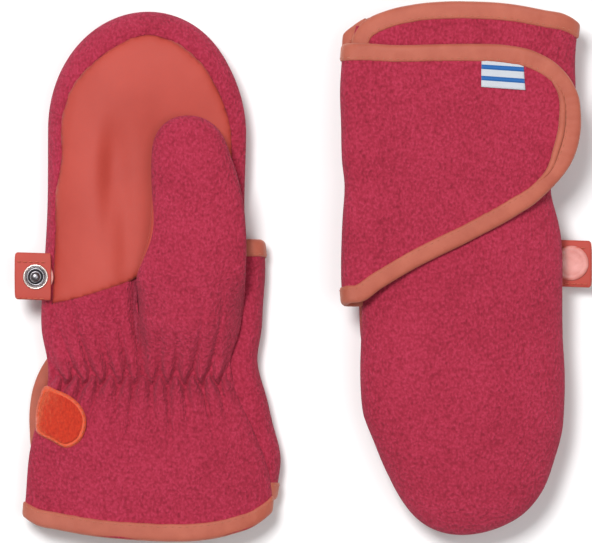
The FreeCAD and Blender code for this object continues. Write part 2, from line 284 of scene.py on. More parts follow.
LIE_HEM = {"right": through([(-50, 0.9), (10, 1.0), (30, 0.0), (48, -0.6)]),
           "left": through([(-50, -1.2), (-20, -0.5), (0, 0.2), (30, 0.6), (50, 0.0)])}


def lie(side, co):
    """The common shape as this mitten lies."""
    co = np.array(co, float)
    x, y = co[:, 0].copy(), co[:, 1].copy()
    share = np.clip(x / HALF_HAND, -1, 1)
    co[:, 0] += LIE_LITTLE[side](y) * np.maximum(-share, 0) + LIE_THUMB[side](y) * np.maximum(share, 0)
    co[:, 1] += LIE_HEM[side](x) * smooth((-30 - y) / 25)
    return co


def place(side, co):
    """From the mitten's own frame, in millimetres, to the row's, in metres."""
    x, y, z = ORIGIN[0] + co[:, 0], ORIGIN[1] + co[:, 1], co[:, 2]
    if side == "left":
        x, y, z = -x, -y, HEIGHT - z
    return np.stack([x, y, z], 1) * MM


def make(name, side, co, faces, material, thick=0.0, levels=0, lies=True, clamp=0.0):
    """A smooth mesh piece of one mitten. thick adds cloth on its inner side, and clamp keeps it from
    crossing itself where the mesh is fine."""
    world = place(side, lie(side, co) if lies else np.asarray(co, float))
    if side == "left":
        faces = [tuple(reversed(f)) for f in faces]
    mesh = bpy.data.meshes.new(side + "_" + name)
    mesh.from_pydata([tuple(p) for p in world], [], faces)
    bm = bmesh.new()
    bm.from_mesh(mesh)
    bmesh.ops.remove_doubles(bm, verts=bm.verts, dist=2e-5)
    bmesh.ops.dissolve_degenerate(bm, edges=bm.edges, dist=1e-6)
    bm.to_mesh(mesh)
    bm.free()
    piece = bpy.data.objects.new(side + "_" + name, mesh)
    bpy.context.scene.collection.objects.link(piece)
    if thick:
        m = piece.modifiers.new("thick", "SOLIDIFY")
        m.thickness, m.offset, m.thickness_clamp = thick * MM, -1.0, clamp
    else:
        bm = bmesh.new()
        bm.from_mesh(mesh)
        bmesh.ops.recalc_face_normals(bm, faces=bm.faces)
        bm.to_mesh(mesh)
        bm.free()
    if levels:
        m = piece.modifiers.new("round", "SUBSURF")
        m.levels = m.render_levels = levels
    settle(piece)
    piece.data.materials.clear()
    piece.data.materials.append(material)
    for p in piece.data.polygons:
        p.use_smooth = True
    return piece


def settle(piece):
    """Applies a piece's modifiers."""
    if piece.modifiers:
        bpy.context.view_layer.update()
        graph = bpy.context.evaluated_depsgraph_get()
        mesh = bpy.data.meshes.new_from_object(piece.evaluated_get(graph))
        piece.modifiers.clear()
        piece.data = mesh


def join(name, parts):
    """One mesh piece out of several."""
    base = parts[0]
    bm = bmesh.new()
    for p in parts:
        bm.from_mesh(p.data)
    bm.to_mesh(base.data)
    bm.free()
    for p in parts[1:]:
        bpy.data.objects.remove(p)
    base.name = name
    for p in base.data.polygons:
        p.use_smooth = True
    return base


# ------------------------------------------------------------------ materials
def socket_value(node, name, value):
    node.inputs[name].default_value = value


def srgb(r, g, b):
    def linear(c):
        c /= 255
        return c / 12.92 if c <= 0.04045 else ((c + 0.055) / 1.055) ** 2.4
    return (linear(r), linear(g), linear(b), 1)


class Look:
    """A small helper for node materials on object coordinates, in metres."""

    def __init__(self, name, roughness, sheen=0.0, sheen_tint=(1, 1, 1, 1), metallic=0.0, coat=0.0):
        self.material = bpy.data.materials.new(name)
        self.material.use_nodes = True
        self.tree = self.material.node_tree
        self.shader = self.tree.nodes["Principled BSDF"]
        socket_value(self.shader, "Roughness", roughness)
        socket_value(self.shader, "Metallic", metallic)
        socket_value(self.shader, "Coat Weight", coat)
        if sheen:
            socket_value(self.shader, "Sheen Weight", sheen)
            socket_value(self.shader, "Sheen Roughness", 0.45)
            socket_value(self.shader, "Sheen Tint", sheen_tint)
        self.where = self.tree.nodes.new("ShaderNodeTexCoord").outputs["Object"]
        self.bumps = None

    def link(self, a, b):
        self.tree.links.new(a, b)

    def stretched(self, scale):
        node = self.tree.nodes.new("ShaderNodeMapping")
        node.inputs["Scale"].default_value = scale
        self.link(self.where, node.inputs["Vector"])
        return node.outputs["Vector"]

    def noise(self, scale, detail=2.0, rough=0.5, where=None):
        node = self.tree.nodes.new("ShaderNodeTexNoise")
        socket_value(node, "Scale", scale)
        socket_value(node, "Detail", detail)
        socket_value(node, "Roughness", rough)
        self.link(where or self.where, node.inputs["Vector"])
        return node.outputs["Fac"]

    def cells(self, scale):
        node = self.tree.nodes.new("ShaderNodeTexVoronoi")
        node.feature = "SMOOTH_F1"
        socket_value(node, "Scale", scale)
        socket_value(node, "Smoothness", 0.6)
        self.link(self.where, node.inputs["Vector"])
        return node.outputs["Distance"]

    def waves(self, scale, direction="X", distortion=0.0):
        node = self.tree.nodes.new("ShaderNodeTexWave")
        node.bands_direction = direction
        socket_value(node, "Scale", scale)
        socket_value(node, "Distortion", distortion)
        self.link(self.where, node.inputs["Vector"])
        return node.outputs["Fac"]

    def ramp(self, fac, stops):
        node = self.tree.nodes.new("ShaderNodeValToRGB")
        ramp = node.color_ramp
        while len(ramp.elements) < len(stops):
            ramp.elements.new(0.5)
        for element, (at, colour) in zip(ramp.elements, stops):
            element.position = at
            element.color = colour
        self.link(fac, node.inputs["Fac"])
        return node.outputs["Color"]

    def add(self, a, b, weight=1.0):
        node = self.tree.nodes.new("ShaderNodeMath")
        node.operation = "MULTIPLY_ADD"
        self.link(b, node.inputs[0])
        node.inputs[1].default_value = weight
        self.link(a, node.inputs[2])
        return node.outputs[0]

    def colour(self, source):
        self.link(source, self.shader.inputs["Base Color"])

    def bump(self, height, distance, strength=1.0):
        node = self.tree.nodes.new("ShaderNodeBump")
        socket_value(node, "Distance", distance)
        socket_value(node, "Strength", strength)
        self.link(height, node.inputs["Height"])
        if self.bumps is not None:
            self.link(self.bumps, node.inputs["Normal"])
        self.bumps = node.outputs["Normal"]
        self.link(self.bumps, self.shader.inputs["Normal"])

    def rough(self, fac, low, high):
        node = self.tree.nodes.new("ShaderNodeMapRange")
        socket_value(node, "To Min", low)
        socket_value(node, "To Max", high)
        self.link(fac, node.inputs["Value"])
        self.link(node.outputs["Result"], self.shader.inputs["Roughness"])


def fleece_look(name, dark, middle, light):
    look = Look(name, 0.95, sheen=0.12, sheen_tint=srgb(255, 150, 180))
    pile = look.noise(1000, 4.0, 0.62, look.stretched((1.0, 0.6, 1.0)))
    pills = look.cells(800)
    clumps = look.add(pile, pills, -0.4)
    broad = look.noise(40, 2.0, 0.6)
    patchy = look.add(clumps, broad, 0.3)
    look.colour(look.ramp(patchy, [(0.16, dark), (0.42, middle), (0.72, light)]))
    look.bump(clumps, 0.0014, 0.8)
    look.rough(pile, 0.85, 1.0)
    return look.material


def cloth_look(name, dark, light, roughness=0.6):
    look = Look(name, roughness, sheen=0.25, sheen_tint=srgb(255, 190, 175))
    warp = look.waves(900, "X", 0.6)
    weft = look.waves(900, "Y", 0.6)
    weave = look.add(warp, weft)
    broad = look.noise(30, 3.0)
    fine = look.noise(900, 2.0)
    tone = look.add(broad, fine, 0.25)
    look.colour(look.ramp(tone, [(0.4, dark), (0.8, light)]))
    look.bump(weave, 0.00006, 0.5)
    look.bump(look.noise(140, 3.0), 0.0005, 0.16)
    look.rough(fine, roughness - 0.08, roughness + 0.1)
    return look.material


def tape_look(name, dark, light):
    look = Look(name, 0.55, sheen=0.35, sheen_tint=srgb(255, 205, 180))
    ribs = look.waves(1500, "DIAGONAL", 1.2)
    broad = look.noise(90, 3.0)
    fine = look.noise(1400, 2.0)
    tone = look.add(broad, fine, 0.3)
    look.colour(look.ramp(tone, [(0.4, dark), (0.85, light)]))
    look.bump(ribs, 0.00008, 0.6)
    look.bump(look.noise(260, 2.0), 0.0006, 0.25)
    look.rough(fine, 0.45, 0.7)
    return look.material


def loop_look():
    look = Look("loop_tape", 0.9, sheen=0.5, sheen_tint=srgb(255, 170, 110))
    hair = look.noise(1300, 5.0, 0.75, look.stretched((1.0, 0.45, 1.0)))
    tufts = look.cells(700)
    tone = look.add(hair, tufts, -0.2)
    stops = [(0.25, srgb(184, 34, 14)), (0.55, srgb(214, 54, 26)), (0.8, srgb(232, 84, 44))]
    look.colour(look.ramp(tone, stops))
    look.bump(hair, 0.0012, 0.8)
    return look.material


def thread_look(name, colour):
    look = Look(name, 0.5, sheen=0.3)
    twist = look.waves(3200, "DIAGONAL")
    look.colour(look.ramp(twist, [(0.2, tuple(c * 0.8 for c in colour[:3]) + (1,)), (0.8, colour)]))
    look.bump(twist, 0.00005, 0.5)
    return look.material


def metal_look(name, colour, roughness):
    look = Look(name, roughness, metallic=1.0)
    wear = look.noise(700, 4.0, 0.6)
    look.colour(look.ramp(wear, [(0.3, tuple(c * 0.72 for c in colour[:3]) + (1,)), (0.7, colour)]))
    look.rough(wear, roughness - 0.06, roughness + 0.14)
    look.bump(look.noise(2600, 2.0), 0.00004, 0.3)
    return look.material


def rubber_look():
    look = Look("cap_rubber", 0.42, coat=0.15)
    cloud = look.noise(160, 3.0)
    look.colour(look.ramp(cloud, [(0.3, srgb(196, 112, 102)), (0.75, srgb(222, 152, 144))]))
    socket_value(look.shader, "Subsurface Weight", 0.25)
    socket_value(look.shader, "Subsurface Radius", (1.0, 0.4, 0.3))
    socket_value(look.shader, "Subsurface Scale", 0.002)
    look.rough(look.noise(900, 2.0), 0.36, 0.5)
    look.bump(look.noise(1500, 2.0), 0.00005, 0.3)
    return look.material


def label_look():
    look = Look("label", 0.5, sheen=0.3)
    weave = look.add(look.waves(1800, "X"), look.waves(1800, "Y"))
    look.colour(look.ramp(weave, [(0.2, srgb(192, 198, 208)), (1.0, srgb(214, 218, 226))]))
    look.bump(weave, 0.0001, 0.6)
    return look.material


def band_look():
    look = Look("label_band", 0.5, sheen=0.3)
    warp = look.waves(1800, "X")
    look.colour(look.ramp(warp, [(0.2, srgb(14, 84, 160)), (1.0, srgb(36, 118, 192))]))
    look.bump(warp, 0.0001, 0.6)
    return look.material


RASPBERRY = (srgb(138, 18, 44), srgb(164, 32, 60), srgb(187, 49, 80))
M_FLEECE = fleece_look("fleece", *RASPBERRY)
M_LINING = fleece_look("lining", srgb(110, 20, 42), srgb(150, 38, 62), srgb(172, 58, 84))
M_PATCH = cloth_look("softshell", srgb(171, 56, 44), srgb(184, 66, 53))
M_BINDING = tape_look("binding", srgb(168, 80, 60), srgb(184, 96, 74))
M_ELASTIC = tape_look("elastic", srgb(206, 202, 194), srgb(232, 229, 222))
M_LOOP = loop_look()
M_LOOP_EDGE = cloth_look("loop_edge", srgb(218, 78, 40), srgb(232, 104, 62))
M_HOOK = cloth_look("hook_tape", srgb(190, 50, 32), srgb(212, 70, 48))
M_THREAD = thread_look("thread", srgb(190, 104, 74))
M_BRIGHT_THREAD = thread_look("bright_thread", srgb(216, 98, 62))
M_RING = metal_look("snap_ring", srgb(226, 212, 204), 0.24)
M_STEEL = metal_look("snap_steel", srgb(122, 118, 122), 0.26)
M_RUBBER = rubber_look()
M_LABEL = label_look()
M_BAND = band_look()


# ------------------------------------------------------------------ stitches
def stitches(name, side, points, outward, material, length=2.1, gap=0.9, width=0.36, rise=0.12):
    """A row of thread stitches along points, standing proud of the cloth."""
    run = np.concatenate([[0], np.cumsum(np.linalg.norm(np.diff(points, axis=0), axis=1))])
    co, faces = [], []
    starts = np.arange(gap, run[-1] - length, length + gap)
    for start in starts:
        steps = np.linspace(start, start + length, 6)
        centre = np.stack([np.interp(steps, run, points[:, k]) for k in range(3)], 1)
        up = np.stack([np.interp(steps, run, outward[:, k]) for k in range(3)], 1)
        ahead = np.gradient(centre, axis=0)
        ahead /= np.linalg.norm(ahead, axis=1)[:, None]
        up /= np.linalg.norm(up, axis=1)[:, None]
        across = np.cross(ahead, up)
        t = (steps - start) / length
        arch = np.sqrt(np.clip(4 * t * (1 - t), 0, 1))
        lift = rise * arch - 0.28 * (1 - arch)
        base = len(co)
        for k in range(6):
            for turn in range(6):
                a = turn * math.pi / 3
                r = width / 2 * (0.55 if k in (0, 5) else 1.0)
                co.append(centre[k] + up[k] * (lift[k] + r * math.sin(a)) + across[k] * r * math.cos(a))
        faces += [tuple(base + i for i in f) for f in grid(6, 6, closed=True)]
        faces += [tuple(base + i for i in range(6)), tuple(base + 30 + i for i in reversed(range(6)))]
    return make(name, side, np.array(co), faces, material)


# ------------------------------------------------------------------ panels of the hand
CORNER = [(22, -65.8), (28, -64.8), (34, -63.2), (41, -60.2), (45.2, -57), (47.5, -53), (48.2, -47),
          (46.8, -38), (42.8, -24), (39, -12)]
corner_hem = through(CORNER[:6] + [(48.2, -45)])
# edge of the back's cuff where the thumb side is slit open
slit_x = through([(-60, 48.2), (-47, 48.2), (-38, 46.8), (-24, 42.8), (-12, 39), (8, 35)])


def back_panel():
    """Fleece back of the hand and cuff, which wraps round the edge to the seam on the palm."""
    side_steps, end_steps, rim_rows, back_rows = 116, 100, 14, 34
    ring = round_seam_radius()
    columns = []

    def start_angle(y, thumb):
        seam = (seam_thumb if thumb else seam_little)(y)
        middle, half, _ = oval(y)
        share = np.clip(abs(seam - middle) / half, 0, 1)
        angle = np.degrees(np.arcsin(share ** (POWER / 2)))
        if thumb:  # below the wrist this side is slit, and the panel ends on the back of the cuff
            share = np.clip((slit_x(y) - middle) / half, 0, 0.999)
            slit = 180 - np.degrees(np.arcsin(share ** (POWER / 2)))
            angle += (slit - angle) * smooth((12 - y) / 8)
        return angle

    def side_column(share, thumb):
        y = np.full(rim_rows + back_rows, -40.0 + 146 * share)
        for _ in range(8):
            first = start_angle(y[0], thumb)
            turn = max(first, 90.0)
            angles = np.concatenate([np.linspace(first, turn, rim_rows, endpoint=False),
                                     np.linspace(turn, 180, back_rows)])
            middle, half, _ = oval(y)
            s = np.abs(np.sin(np.radians(angles))) ** (2 / POWER)
            x = middle + half * s * (1 if thumb else -1)
            low_end = np.where(x > CORNER[0][0], corner_hem(x), hem(x)) if thumb else hem(x)
            y = low_end + (TIP_Y - low_end) * share
        return bag(angles if thumb else -angles, y)

    for share in np.linspace(0, 1, side_steps, endpoint=False):
        columns.append(side_column(share, False))
    a = thumb_edge(TIP_Y)
    for around in np.linspace(180, 0, end_steps):
        first = np.degrees(np.arcsin(np.clip(ring(around), 0, 1) ** (POWER / 2)))
        angles = np.concatenate([np.linspace(first, 90, rim_rows, endpoint=False),
                                 np.linspace(90, 180, back_rows)])
        rho = np.abs(np.sin(np.radians(angles))) ** (2 / POWER)
        x = a * rho * math.cos(math.radians(around))
        y = TIP_Y + TIP_B * rho * math.sin(math.radians(around))
        z = np.where(angles < 90, palm_z(x, y), back_z(x, y))
        columns.append(np.stack([x, y, z], 1))
    for share in np.linspace(1, 0, side_steps + 1)[1:]:
        columns.append(side_column(share, True))
    rows = rim_rows + back_rows
    co = np.concatenate(columns)
    palm = co[:, 2] > SEAM_Z
    co[palm, 2] -= groove(co[palm], SEAM, 0.6, 1.4)
    co[palm, 2] += lumps(co[palm] * (1, 1, 0), 3.6, 0.5, 6) * np.exp(-distance_to(co[palm][:, :2], SEAM) / 5)
    co[:, 2] += np.where(palm, 1, -1) * lumps(co * (1, 1, 0.2), 26, 0.7, 3) * np.clip(co[:, 1] / 30, 0, 1)
    faces = [tuple(reversed(f)) for f in grid(len(columns), rows)]
    return co, faces


def palm_patch():
    """Smooth patch over the fingers and the upper palm."""
    low_edge = trace(PATCH_LOW, 60)
    outline = np.vstack([SEAM, low_edge[::-1][1:-1]])
    middle = outline.mean(0)
    outline = middle + (outline - middle) * 1.012  # its edge is tucked under the fleece
    plan, faces = fill(outline, 1.5)
    path = np.vstack([outline, outline[:1]])
    z = palm_z(plan[:, 0], plan[:, 1])
    co = np.column_stack([plan, z])
    d = distance_to(plan, path)
    co[:, 2] -= 1.3 * np.exp(-d / 1.4)
    pucker = lumps(co * (1, 1, 0), 4.2, 0.5, 5) * np.exp(-d / 4)
    co[:, 2] += pucker + lumps(co * (1, 1, 0), 30, 0.9, 8)
    return co, faces


pleat = through([(-39, -12), (-32, -6), (-25.6, 0), (-19, 6.5), (-11.2, 13.3), (-5.2, 20), (1.7, 26.6),
                 (8.6, 33.4), (15.6, 40), (22.6, 46.7), (29.4, 53.3), (36, 60), (42, 66)])
PLEAT_STEP = 6.65
ELASTIC_DEPTH = 6.2           # of the wrist elastic under the palm's surface


def puff(x, y):
    """Fullness of the cloth beside the elastic."""
    return 3.0 * np.exp(-((y - 1.6) / 10) ** 2) * smooth((x + 43) / 9) * smooth((37.8 - x) / 7)


def gathers(x, y):
    """Pleats drawn in by the wrist elastic: two sets of lobes that meet in a zigzag."""
    x0 = x / (1 + 0.012 * np.abs(y - 2)) + 0.05 * np.abs(y - 2)
    wave = np.cos(2 * np.pi * pleat(x0) / PLEAT_STEP)
    line = 1.6 - 2.9 * wave
    d = np.abs(y - line)
    valley = np.where(y > line, 1 - ((1 + wave) / 2) ** 0.6, 1 - ((1 - wave) / 2) ** 0.6)
    long_folds = 1 + 0.55 * np.sin(pleat(x0) * 1.7 + 2) * np.sin(pleat(x0) * 0.61)
    near = np.exp(-(d / 2.0) ** 2)
    fade = np.exp(-(d / (9.5 * long_folds + 2)) ** 1.2)
    depth = -4.4 * near - 4.8 * valley * (1 - near) * fade
    reach = smooth((x + 43) / 9) * smooth((37.8 - x) / 7)
    return depth * reach + puff(x, y)


ROOT_Y = 28.0                 # the thumb leaves the heel of the palm along this line
THUMB_Z = 27.9
thumb_left = through([(26, -3.6), (36, -4.4), (45, -4.4), (51, -2.6), (60, 0.2), (73, 1.9), (90, 1.7),
                      (100, 2.0)])
thumb_right = through([(26, 40.4), (45, 41.6), (60.5, 41.8), (76, 40.4), (88, 37.8), (99, 34.4),
                       (112, 32.5)])
THUMB_END, THUMB_ROUND = 112.0, 15.5


def heel_z(x, y):
    swell = smooth((y + 6) / (ROOT_Y + 6))
    u = np.clip(np.abs((x - 18.4) / 22.3), 0, 1)
    z = palm_z(x, y) + 12.6 * swell * (1 - u * u) ** (1.7 - 1.15 * swell) * (1 - smooth((y - ROOT_Y) / 6))
    # crease that runs down from the crotch of the thumb
    u = (x + 5.3 - 0.17 * np.clip(30 - y, 0, None)) / 2.1
    z = z - 3.0 * np.exp(-u * u) * smooth((y - 4) / 16)
    return z + gathers(x, y)


def thumb_base_z(x, y):
    """Surface from which the thumb's front grows: the heel up to the root, and level past it."""
    return heel_z(x, np.minimum(y, ROOT_Y)) + palm_z(x, y) - palm_z(x, np.minimum(y, ROOT_Y))


DEGREE = 0.55                 # of turn round the hand, laid out flat, in millimetres


def angle_at(x, y):
    middle, half, _ = oval(y)
    share = np.clip((x - middle) / half, -1, 1)
    return np.sign(share) * np.degrees(np.arcsin(np.abs(share) ** (POWER / 2)))


def palm_heel():
    """Fleece heel of the palm and palm side of the cuff, gathered at the wrist."""
    top = trace(PATCH_LOW, 70)
    top = np.column_stack([angle_at(top[:, 0], top[:, 1]), top[:, 1]])
    root = [(angle_at(seam_thumb(y), y), y) for y in np.linspace(53, ROOT_Y + 1, 25)]
    root += [(a, ROOT_Y) for a in np.linspace(root[-1][0] + 2, 90, 12)]
    down = [(90 + 34 * smooth((4 - y) / 12), y) for y in np.linspace(ROOT_Y, -44, 80)[1:]]
    low_edge = []
    for angle in np.linspace(124, -66, 150):
        y = -58.0
        for _ in range(8):
            y = float(hem(bag(angle, y)[0]))
        low_edge.append((angle, y))
    up = [(angle_at(seam_little(y), y), y) for y in np.linspace(-52, 32.5, 90)]
    low_edge = [q for q in low_edge if q[0] > up[0][0] + 1]
    outline = np.vstack([top, root, down, low_edge, up]) * (DEGREE, 1)
    plan, faces = fill(outline, 0.68)
    angle, y = plan[:, 0] / DEGREE, plan[:, 1]
    co = bag(angle, y, 1.8 * smooth((angle - 92) / 12))
    on_palm = angle <= 90
    co[on_palm, 2] = heel_z(co[on_palm, 0], co[on_palm, 1])
    co[:, 2] -= groove(co, np.vstack([SEAM[:3][::-1], trace(PATCH_LOW, 60)]), 0.6, 1.4)
    co[:, 2] += lumps(co * (1, 1, 0), 17, 0.9, 11) * smooth((-10 - co[:, 1]) / 25)
    return co, faces


# ------------------------------------------------------------------ thumb
def thumb_point(angle, y, inset=0.0):
    """A point of the thumb: angle 0 is its front, 90 its outer side, -90 the side at the palm."""
    end = np.clip((y - (THUMB_END - THUMB_ROUND)) / (THUMB_ROUND - inset), 0, 0.9999)
    taper = (1 - end ** 2.2) ** (1 / 2.2)
    left, right = thumb_left(y), thumb_right(y)
    middle = (left + right) / 2 + end * 0.4
    half = (right - left) / 2 - inset - 1.6 * smooth((ROOT_Y + 2 - y) / 5)
    s, c = np.sin(np.radians(angle)), np.cos(np.radians(angle))
    rho = np.sign(s) * np.abs(s) ** (2 / POWER)
    x = middle + half * taper * rho
    height = (6.3 - inset) * np.abs(c) ** (2 / POWER) * taper ** 0.8
    merged = smooth((y - ROOT_Y) / 20)
    root_edge = np.where(s < 0, palm_z(-3.8, ROOT_Y), SEAM_Z)
    edge = THUMB_Z * merged + root_edge * (1 - merged)
    sunk = 1.0 * smooth((ROOT_Y + 1 - y) / 5) - 0.35 * smooth((y - ROOT_Y) / 4)
    front = (thumb_base_z(x, y) - sunk) * (1 - merged) + (THUMB_Z + height) * merged
    back = edge - (height - 0.3) * merged
    z = np.where(c >= 0, front, back)
    return np.stack(np.broadcast_arrays(x, y, z), -1)


def thumb_loft(first, last, y_start, columns, rows, inset=0.0):
    """first and last give the panel's edge angles at y."""
    fan = np.linspace(0, 1, rows)
    ys = y_start + (THUMB_END - inset - y_start) * np.sin(fan * math.pi / 2) ** 0.85
    y = np.ones(columns)[:, None] * ys
    angle = first(y) + (last(y) - first(y)) * np.linspace(0, 1, columns)[:, None]
    co = thumb_point(angle, y, inset).reshape(-1, 3)
    return co, [tuple(reversed(f)) for f in grid(columns, rows)]


front_left = through([(28, -90), (44, -90), (50, -78), (58, -69), (70, -71), (78, -86), (84, -96),
                      (112, -96)])
front_right = through([(28, 90), (48, 92), (60, 98), (112, 98)])


def thumb_front():
    co, faces = thumb_loft(front_left, front_right, ROOT_Y - 6, 96, 100)
    grown = smooth((co[:, 1] - ROOT_Y) / 14)
    co[:, 2] += grown * (lumps(co * (1, 1, 0), 15, 0.7, 21) + lumps(co * (1, 1, 0), 6, 0.15, 22))
    return co, faces


def thumb_back():
    return thumb_loft(front_right, lambda y: 360 + front_left(y), 42.0, 60, 70)


# ------------------------------------------------------------------ wrap flap
FLAP_TIP_X = -49.3
FOLD_X, FOLD_R = 44.4, 5.6
FLAP_MID_Z = 1.9
FOLD_RUN = math.pi * FOLD_R
STRIP = 9.0                   # of the flap past its fold, back on the palm side
FOLD_LIE = {
    "right": through([(-50, 2.0), (-42, 3.0), (-33, 4.0), (-16, 0.8), (-7, -0.8), (9, -4.4), (23, -2.6),
                      (32, -2.2), (49, -1.4), (62, -2.4)]),
    "left": through([(-50, 1.2), (-42, 1.2), (-33, 1.0), (-16, -0.4), (0, -1.4), (9, -2.6), (23, -2.0),
                     (32, -1.6), (49, -1.4), (62, -2.2)])}
FLAP_LOW = [(FLAP_TIP_X, -21), (-48.8, -28), (-46.4, -34.6), (-41.5, -40.2), (-33, -44.8), (-20, -47.6),
            (-5, -48.6), (12, -48.8), (30, -48.6), (FOLD_X, -49)]
FLAP_HIGH = [(FLAP_TIP_X, -21), (FLAP_TIP_X, -12), (-47.9, -3), (-43.6, 7.2), (-36.4, 15.6), (-25, 22.2),
             (-5, 31.8), (19, 43.8), (34, 52.2), (FOLD_X, 58.2)]


LIP = [(-34, 10), (-38.2, 5.6), (-41.2, -5), (-43, -17.5), (-42.2, -30), (-39.2, -35.2)]


def flap_edges(count=90):
    """Both long edges of the flap over its unrolled width, from the round tip to the sewn root."""
    low_edge, high_edge = trace(FLAP_LOW, count), trace(FLAP_HIGH, count)
    across = np.linspace(0.09, math.pi / 2, count)
    flat = FLAP_TIP_X + (FOLD_X - FLAP_TIP_X) * (1 - np.cos(across))
    past = np.linspace(FOLD_X, FOLD_X + FOLD_RUN + STRIP, 34)[1:]
    x = np.concatenate([flat, past])
    turned = (past - FOLD_X) / (FOLD_RUN + STRIP)
    y_low = np.concatenate([np.interp(flat, *low_edge.T), FLAP_LOW[-1][1] + 0.8 * turned])
    y_high = np.concatenate([np.interp(flat, *high_edge.T), FLAP_HIGH[-1][1] + 1.8 * smooth(turned * 2)])
    return x, y_low, y_high


def flap_point(w, y, out, side):
    """The flap's sheet bent round its fold. w is across it, out is towards its outer face."""
    shift = FOLD_LIE[side](y) * smooth((w - 15) / 28)
    turn = np.clip((w - FOLD_X) / FOLD_R, 0, math.pi)
    past = np.clip(w - FOLD_X - FOLD_RUN, 0, None)
    base = np.where(w < FOLD_X, w, FOLD_X)
    x = base + (FOLD_R + out) * np.sin(turn) - past + shift
    z = FLAP_MID_Z + FOLD_R - (FOLD_R + out) * np.cos(turn)
    wave = 0.7 * np.sin(w / 13 + y / 17) * np.cos(y / 21 - w / 40) * smooth((46 - w) / 20)
    if side == "left":  # free of the table, so it lies over the cuff more loosely
        wave = 0.8 * wave
    else:
        wave = 0.5 + 0.5 * wave
    return np.stack(np.broadcast_arrays(x, y, z + wave), -1)


def wrap_flap(side):
    x, y_low, y_high = flap_edges()
    rows = 84
    t = np.linspace(0, 1, rows)
    w = x[:, None] * np.ones(rows)
    y = y_low[:, None] + (y_high - y_low)[:, None] * t
    co = flap_point(w, y, FLEECE / 2, side).reshape(-1, 3)
    return co, grid(len(x), rows)


def sweep(point, path, profile, tapered=False):
    """A strip of closed section along a path. path holds (u, v) points in a sheet's own plane, the
    profile is (inwards, outwards) from it, and point(u, v, out) puts them in space."""
    ahead = np.gradient(path, axis=0)
    ahead /= np.linalg.norm(ahead, axis=1)[:, None]
    inward = np.stack([-ahead[:, 1], ahead[:, 0]], 1)
    ripple = [0.16 * noise.noise(Vector((k * 0.23, 3.1, 0))) for k in range(len(path))]
    co = []
    for k in range(len(path)):
        full = math.sin(math.pi * k / (len(path) - 1)) ** 0.35 if tapered else 1.0
        for q, out in profile:
            out *= full
            u, v = path[k] + inward[k] * (q * full + (ripple[k] if q > 1 else 0))
            co.append(point(u, v, out + ripple[k] * (1 if out > 0 else 0)))
    columns = len(profile)
    faces = grid(len(path), columns, closed=True)
    faces.append(tuple(reversed(range(columns))))
    faces.append(tuple(range((len(path) - 1) * columns, len(path) * columns)))
    return np.array(co), faces, inward, ripple


def folded_tape(point, path, width=BINDING, thick=0.75, inner=FLEECE + 0.9):
    """Binding tape folded over an edge, which its path follows with the cloth on the left. Also the
    line of its stitches and the way they face."""
    profile = [(width, -0.1), (width - 0.15, thick * 0.75), (width - 0.7, thick),
               (width * 0.66, thick * 1.08), (width * 0.33, thick * 1.05), (0.9, thick * 0.9),
               (0.1, thick * 0.35), (-0.45, -inner * 0.25), (-0.45, -inner * 0.75),
               (0.1, -inner - thick * 0.3), (0.9, -inner - thick * 0.6),
               (width * 0.5, -inner - thick * 0.7), (width, -inner - thick * 0.5), (width, -inner + 0.2)]
    co, faces, inward, ripple = sweep(point, path, profile)
    line, above = [], []
    for k, r in enumerate(ripple):
        u, v = path[k] + inward[k] * (width - STITCH_INSET + r)
        line.append(point(u, v, thick + r))
        above.append(point(u, v, thick + r + 2))
    return co, faces, np.array(line), np.array(above) - np.array(line)


def flap_path():
    """The flap's edge in its unrolled plane, from the sewn root round the tip and back."""
    x, y_low, y_high = flap_edges()
    past = x > FOLD_X + 0.1
    upper = np.stack([x, y_high], 1)[past][::-5]
    lower = np.stack([x, y_low], 1)[past][4::5]
    return trace(np.vstack([upper, FLAP_HIGH[:0:-1], FLAP_LOW, lower]), 520)


# ------------------------------------------------------------------ cuff binding
def palm_hem_point(angle, q, out):
    """A point by the palm side's hem, which runs on round the cuff: q is in from it, out from the cloth."""
    inset = 1.8 * smooth((angle - 92) / 12)
    y = -58.0
    for _ in range(3):
        y = float(hem(bag(angle, y, inset)[0])) + q
    p = bag(np.array([angle, angle + 0.8, angle]), np.array([y, y, y + 1.0]), inset)
    normal = np.cross(p[1] - p[0], p[2] - p[0])
    normal /= np.linalg.norm(normal)
    if p[0][2] > SEAM_Z and abs(angle) < 88:
        p[0][2] = heel_z(p[0][0], p[0][1])
    return p[0] + normal * out


def slit_point(x, y, out):
    """A point over the back of the cuff, out from the cloth."""
    return np.array([x, y, float(back_z(np.float64(x), np.float64(y))) - out])


def cuff_tapes():
    """The two runs of the cuff's binding: round its hem, and up the slit on the back's thumb side."""
    loop = np.stack([np.linspace(-205, 122, 310), np.zeros(310)], 1)
    return (("hem", palm_hem_point, loop), ("slit", slit_point, trace(CORNER, 90)))


# ------------------------------------------------------------------ patches, tab and lining
LOOP_PATCH = [(-46.4, -20), (-46.6, -14.6), (-45, -6.5), (-42.2, -1.2), (-38, -2.6), (-32, -5.2),
              (-27.4, -9.4), (-25.2, -14.5), (-25.6, -20), (-28.2, -24.8), (-33, -27.2), (-39.5, -24.4)]
HOOK_PATCH = [(-42, -22), (-41, -12), (-38.5, -5.5), (-31, 0.5), (-24, -6), (-20, -22), (-25, -32),
              (-34, -34)]


def pad(outline, surface, thick, step=1.1, edge=1.0):
    """A thin pad on a surface, its edge rounded down."""
    plan, faces = fill(outline, step)
    d = distance_to(plan, np.vstack([outline, outline[:1]]))
    z = surface(plan[:, 0], plan[:, 1]) + thick * np.minimum(1, d / edge) ** 0.5
    return np.column_stack([plan, z]), faces


TAB_ROOT_X, TAB_RUN, TAB_HALF_WIDTH = -41.0, 15.4, 9.9
TAB_Z, TAB_HALF_THICK = 24.0, 1.0
